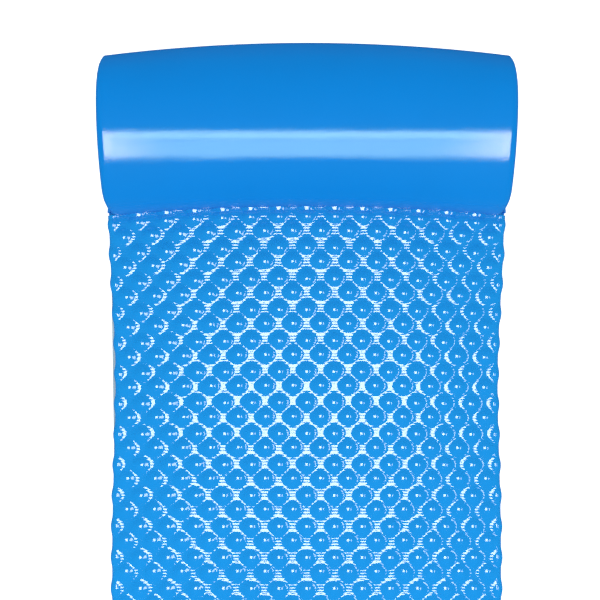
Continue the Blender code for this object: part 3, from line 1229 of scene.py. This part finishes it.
# Dipped vinyl: the eye sees one even blue under a wet gloss, which is duller down in the fold at the nose.
SMOOTH_VINYL = Finish("glossy blue vinyl dip coat", "#0087e0", 0.55, coat=1.0, coat_roughness=0.08,
                      grain_size=0.0020, grain_depth=0.00010, fold_roughness=0.5)
# The same vinyl after the hot embossing roll: the bumps show small sharp pictures of the lamps. Its blue is
# lighter than the smooth vinyl's, which paints in the brighter light that the mat shows. Its coat's index is
# above vinyl's usual 1.5, which makes the pictures of the lamps brighter.
EMBOSSED_VINYL_PAINTED_LIGHT = Finish("hot embossed blue vinyl with painted light", "#1696e7", 0.55, coat=1.0, coat_roughness=0.05,
                        coat_ior=1.9, ripple_depth=0.00015)
# Closed-cell foam, sheet and log: pale and quite matt, with the cut cells as a fine pitting.
FOAM = Finish("closed-cell foam sheet", "#c3dcec", 0.92, grain_size=0.0012, grain_depth=0.0002)
CORE_FOAM = Finish("closed-cell foam log", "#dcdfe2", 0.92, grain_size=0.0015, grain_depth=0.0002)
# Contact adhesive that has set: a thin yellowish film with a dull sheen.
ADHESIVE = Finish("set contact adhesive", "#ebe3c9", 0.45, grain_size=0.0008, grain_depth=0.0001)
# White studio floor: a soft shadow and no gloss. The floor and the room are blue only where the vinyl mirrors
# them: a painted reflection.
FLOOR = Finish("matt white studio floor", "#f4f4f4", 0.85)
FLOOR_MIRRORED = "#08508c"
ROOM_MIRRORED = "#2272b0"
FLOOR_LIFT = 0.80
# Broad patches in which the vinyl's blue is a little darker or lighter, and how many fit in a metre.
CLOUDS_PER_METRE = 9.0
CLOUD_LEVELS = (0.96, 1.04)
# Ripples that the embossing roll leaves in the valleys. Like the grain sizes above they are drawn coarser
# than real ones, so that they show at the photograph's scale. They fade out between two heights above the
# valleys.
RIPPLE_PITCH = 0.0048
RIPPLE_FADE = (0.0012, 0.0024)
RIPPLE_WOBBLE = {"Distortion": 1.6, "Detail": 1.0, "Detail_Scale": 0.6}
# Heights above the valleys between which the fold's dull gloss turns into the pillow's full one.
FOLD_FADE = (0.022, 0.055)
# The pigmented vinyl below its own wet surface mirrors next to nothing.
BODY_SPECULAR = 0.05
CELL_STRENGTH = 0.6


def linear(colour: str) -> tuple[float, float, float, float]:
    """Turn an sRGB hex colour into linear values.

    Args:
        colour: "#" with six hex digits.

    Returns:
        Red, green, blue and alpha for a shader's socket.
    """
    values = []
    for start in (1, 3, 5):
        value = int(colour[start:start + 2], 16) / 255
        values.append(value / 12.92 if value <= 0.04045 else ((value + 0.055) / 1.055) ** 2.4)
    return values[0], values[1], values[2], 1.0


class Shader:
    """Node tree of a material or of the world, built up node by node."""

    def __init__(self, owner: bpy.types.Material | bpy.types.World) -> None:
        """Start with an empty tree.

        Args:
            owner: material or world that the tree belongs to.
        """
        owner.use_nodes = True
        self.tree = owner.node_tree
        self.tree.nodes.clear()

    def add(self, kind: str, settings: dict[str, Any] | None = None, **inputs: Any) -> bpy.types.Node:
        """Add a node with its settings, values and links.

        Args:
            kind: the node's type.
            settings: properties of the node itself.
            inputs: values or output sockets by input name, with "_" for a blank, or by "_" and a number.

        Returns:
            The node.
        """
        node = self.tree.nodes.new(kind)
        for name, value in (settings or {}).items():
            setattr(node, name, value)
        for name, value in inputs.items():
            key = int(name[1:]) if name[1:].isdigit() else name.replace("_", " ")
            if isinstance(value, bpy.types.NodeSocket):
                self.tree.links.new(value, node.inputs[key])
            else:
                node.inputs[key].default_value = value
        return node


def vinyl_material(finish: Finish, valley_z: float) -> bpy.types.Material:
    """Thick dipped vinyl: a deep even blue under a wet gloss that mirrors the lamps as sharp spots.

    Args:
        finish: its colour and gloss.
        valley_z: level of the valleys, where the embossing roll leaves fine ripples.

    Returns:
        The material.
    """
    material = bpy.data.materials.new(finish.name)
    shader = Shader(material)
    place = shader.add("ShaderNodeTexCoord").outputs["Object"]
    height = shader.add("ShaderNodeSeparateXYZ", Vector=place).outputs["Z"]
    soft = {"interpolation_type": "SMOOTHSTEP"}
    cloud = shader.add("ShaderNodeTexNoise", Vector=place, Scale=CLOUDS_PER_METRE, Detail=2.0)
    level = shader.add("ShaderNodeMapRange", Value=cloud.outputs["Fac"], To_Min=CLOUD_LEVELS[0],
                       To_Max=CLOUD_LEVELS[1])
    tint = shader.add("ShaderNodeHueSaturation", Color=linear(finish.colour), Value=level.outputs[0])
    grain = shader.add("ShaderNodeTexNoise", Vector=place, Scale=1.0 / finish.grain_size, Detail=1.0)
    skin = shader.add("ShaderNodeBump", Height=grain.outputs["Fac"], Distance=finish.grain_depth)
    waves = shader.add("ShaderNodeTexWave", {"bands_direction": "Y"}, Vector=place,
                       Scale=math.pi / 10 / RIPPLE_PITCH, **RIPPLE_WOBBLE)
    valley = shader.add("ShaderNodeMapRange", soft, Value=height, From_Min=valley_z + RIPPLE_FADE[0],
                        From_Max=valley_z + RIPPLE_FADE[1], To_Min=1.0, To_Max=0.0)
    ripples = shader.add("ShaderNodeMath", {"operation": "MULTIPLY"}, _0=waves.outputs["Fac"],
                         _1=valley.outputs[0])
    rolled = shader.add("ShaderNodeBump", Height=ripples.outputs[0], Distance=finish.ripple_depth,
                        Normal=skin.outputs[0])
    gloss = finish.coat_roughness
    if finish.fold_roughness:
        gloss = shader.add("ShaderNodeMapRange", soft, Value=height, From_Min=valley_z + FOLD_FADE[0],
                           From_Max=valley_z + FOLD_FADE[1], To_Min=finish.fold_roughness,
                           To_Max=finish.coat_roughness).outputs[0]
    body = shader.add("ShaderNodeBsdfPrincipled", Base_Color=tint.outputs[0], Roughness=finish.roughness,
                      Specular_IOR_Level=BODY_SPECULAR, Normal=rolled.outputs[0], Coat_Weight=finish.coat,
                      Coat_IOR=finish.coat_ior, Coat_Roughness=gloss, Coat_Normal=rolled.outputs[0])
    shader.add("ShaderNodeOutputMaterial", Surface=body.outputs[0])
    return material


def plain_material(finish: Finish) -> bpy.types.Material:
    """Matt material with a fine grain.

    Args:
        finish: its colour, roughness and grain.

    Returns:
        The material.
    """
    material = bpy.data.materials.new(finish.name)
    shader = Shader(material)
    place = shader.add("ShaderNodeTexCoord").outputs["Object"]
    cells = shader.add("ShaderNodeTexVoronoi", Vector=place, Scale=1.0 / finish.grain_size)
    grain = shader.add("ShaderNodeBump", Height=cells.outputs["Distance"], Distance=finish.grain_depth,
                       Strength=CELL_STRENGTH)
    body = shader.add("ShaderNodeBsdfPrincipled", Base_Color=linear(finish.colour),
                      Roughness=finish.roughness, Normal=grain.outputs[0])
    shader.add("ShaderNodeOutputMaterial", Surface=body.outputs[0])
    return material


def floor_material() -> bpy.types.Material:
    """White studio floor, lifted for the camera so that it stays white round a soft shadow.

    Returns:
        The material.
    """
    material = bpy.data.materials.new(FLOOR.name)
    shader = Shader(material)
    path = shader.add("ShaderNodeLightPath")
    lift = shader.add("ShaderNodeMath", {"operation": "MULTIPLY"}, _0=path.outputs["Is Camera Ray"],
                      _1=FLOOR_LIFT)
    # Painted reflection: rays that the vinyl mirrors see the floor as dark blue instead of white.
    tone = shader.add("ShaderNodeMixRGB", Fac=path.outputs["Is Glossy Ray"], Color1=linear(FLOOR.colour),
                      Color2=linear(FLOOR_MIRRORED))
    body = shader.add("ShaderNodeBsdfPrincipled", Base_Color=tone.outputs[0], Roughness=FLOOR.roughness,
                      Emission_Color=(1.0, 1.0, 1.0, 1.0), Emission_Strength=lift.outputs[0])
    shader.add("ShaderNodeOutputMaterial", Surface=body.outputs[0])
    return material


@dataclass(frozen=True)
class Lamp:
    """Softbox that hangs level over the float, and is either mirrored or lights the colours."""

    name: str
    place: tuple[float, float, float]
    size: tuple[float, float]
    radiance: float
    colour: tuple[float, float, float] = (1.0, 1.0, 1.0)
    mirrored: bool = True

    def hang(self, lit: bpy.types.Collection | None) -> None:
        """Make the lamp; its power follows from its size and radiance.

        Args:
            lit: pieces that it lights, or nothing for all.
        """
        deselect_all()
        bpy.ops.object.light_add(type="AREA", location=self.place)
        lamp = bpy.context.object
        lamp.name = self.name
        lamp.data.shape = "RECTANGLE"
        lamp.data.size, lamp.data.size_y = self.size
        lamp.data.energy = self.radiance * math.pi * self.size[0] * self.size[1]
        lamp.data.color = self.colour
        lamp.visible_diffuse = not self.mirrored
        lamp.visible_glossy = self.mirrored
        if lit:
            lamp.light_linking.receiver_collection = lit


LAMP_HEIGHT = 1.95
# Softboxes that the bumps mirror, one straight above and one to the right.
MAT_LAMPS = (
    Lamp("overhead_softbox", (0.0, 0.13, LAMP_HEIGHT), (0.80, 0.85), 8.0),
    Lamp("right_softbox", (1.20, 0.0, LAMP_HEIGHT), (0.40, 0.80), 5.0),
)
# Softboxes that the pillow mirrors as its band of light. The front ones are tinted, which keeps the band pale
# blue, and the end ones are white.
SKY_TINT = (0.66, 1.0, 0.9)
PILLOW_LAMPS = (
    Lamp("near_strip", (0.0, -0.185, LAMP_HEIGHT), (1.24, 0.23), 12.0, SKY_TINT),
    Lamp("front_softbox", (0.0, -0.78, LAMP_HEIGHT), (1.24, 0.90), 6.8, SKY_TINT),
    Lamp("front_tail_softbox", (0.0, -1.31, LAMP_HEIGHT), (0.90, 0.16), 6.8, SKY_TINT),
    Lamp("front_middle_softbox", (0.0, -0.73, LAMP_HEIGHT), (0.50, 1.32), 1.8, SKY_TINT),
    Lamp("left_end_softbox", (-0.86, -0.595, LAMP_HEIGHT), (0.48, 1.05), 12.5),
    Lamp("right_end_softbox", (0.86, -0.595, LAMP_HEIGHT), (0.48, 1.05), 12.5),
)
# Light on the colours alone.
ROOM_LAMPS = (
    Lamp("foot_fill", (0.0, -1.1, 2.2), (2.0, 1.4), 2.8, mirrored=False),
)


@dataclass(frozen=True)
class Studio:
    """Floor, light and camera."""

    plan: FloatPlan
    camera_height: float = 1.9
    view_angle: float = 29.36
    camera_x: float = -0.0110
    camera_y: float = 0.4717
    mat_level: float = 0.035
    floor_size: float = 12.0
    floor_gap: float = 0.0005
    room_light: float = 0.82

    def lay_floor(self) -> None:
        """Lay the floor under the float."""
        deselect_all()
        bpy.ops.mesh.primitive_plane_add(size=self.floor_size, location=(0.0, 0.0, -self.floor_gap))
        floor = bpy.context.object
        floor.name = "studio_floor"
        floor.data.transform(floor.matrix_basis)
        floor.location = (0.0, 0.0, 0.0)
        dress(floor, floor_material())

    def light(self, mat: bpy.types.Object, pillow: bpy.types.Object) -> None:
        """Hang the lamps and set the room round them, painted as blue sky only where the vinyl mirrors it.

        Args:
            mat: the embossed face, which mirrors the overhead softboxes.
            pillow: the smooth face, which mirrors the softboxes over the foot half.
        """
        for lamps, lit in ((MAT_LAMPS, mat), (PILLOW_LAMPS, pillow)):
            group = bpy.data.collections.new(f"lit_{lit.name}")
            group.objects.link(lit)
            for lamp in lamps:
                lamp.hang(group)
        for lamp in ROOM_LAMPS:
            lamp.hang(None)
        world = bpy.data.worlds.new("dim_room")
        room = Shader(world)
        path = room.add("ShaderNodeLightPath")
        grey = (self.room_light, self.room_light, self.room_light, 1.0)
        # Painted reflection: rays that the vinyl mirrors see the room as blue instead of grey.
        tone = room.add("ShaderNodeMixRGB", Fac=path.outputs["Is Glossy Ray"], Color1=grey,
                        Color2=linear(ROOM_MIRRORED))
        walls = room.add("ShaderNodeBackground", Color=tone.outputs[0])
        room.add("ShaderNodeOutputWorld", Surface=walls.outputs[0])
        bpy.context.scene.world = world

    def place_camera(self) -> None:
        """Put the camera straight above the head half of the float."""
        place = (self.camera_x, self.camera_y, self.mat_level + self.camera_height)
        bpy.ops.object.camera_add(location=place, rotation=(0.0, 0.0, 0.0))
        camera = bpy.context.object
        camera.data.angle = math.radians(self.view_angle)
        bpy.context.scene.camera = camera
        bpy.context.scene.view_settings.view_transform = "Standard"


def main() -> None:
    """Build, dress, light and frame the float."""
    logging.basicConfig(level=logging.INFO, format="%(message)s")
    plan = FloatPlan.from_frame()
    profile = PillowProfile(plan)
    lattice = BumpLattice(plan)
    vinyl = vinyl_material(SMOOTH_VINYL, plan.valley_z)
    adhesive = plain_material(ADHESIVE)
    # The embossed face's blue is lighter than the smooth face's: painted light.
    embossed = EmbossedFace(plan, lattice).dressed(vinyl_material(EMBOSSED_VINYL_PAINTED_LIGHT, plan.valley_z))
    smooth = SmoothFace(plan, profile).dressed(vinyl)
    for side in Side:
        PillowEnd(plan, profile, side).dressed(vinyl)
    FoamSheet(plan, profile).dressed(plain_material(FOAM))
    FoamLog(plan, profile).dressed(plain_material(CORE_FOAM))
    log_y = plan.nose_y + plan.wrap_depth
    log_bond = BondFilm(plan, "adhesive_under_log", "core_bond", log_y + BOND_SET_BACK, profile.heel_y,
                        plan.wrap_depth - BondFilm.thickness)
    log_bond.dressed(adhesive)
    flap_bond = BondFilm(plan, "adhesive_under_flap", "flap_bond", plan.nose_y + BOND_SET_BACK,
                         plan.nose_y + FLAP_BOND_END, plan.valley_z + plan.seat_gap)
    flap_bond.dressed(adhesive)
    studio = Studio(plan)
    studio.lay_floor()
    studio.light(embossed, smooth)
    studio.place_camera()


if __name__ == "__main__":
    main()
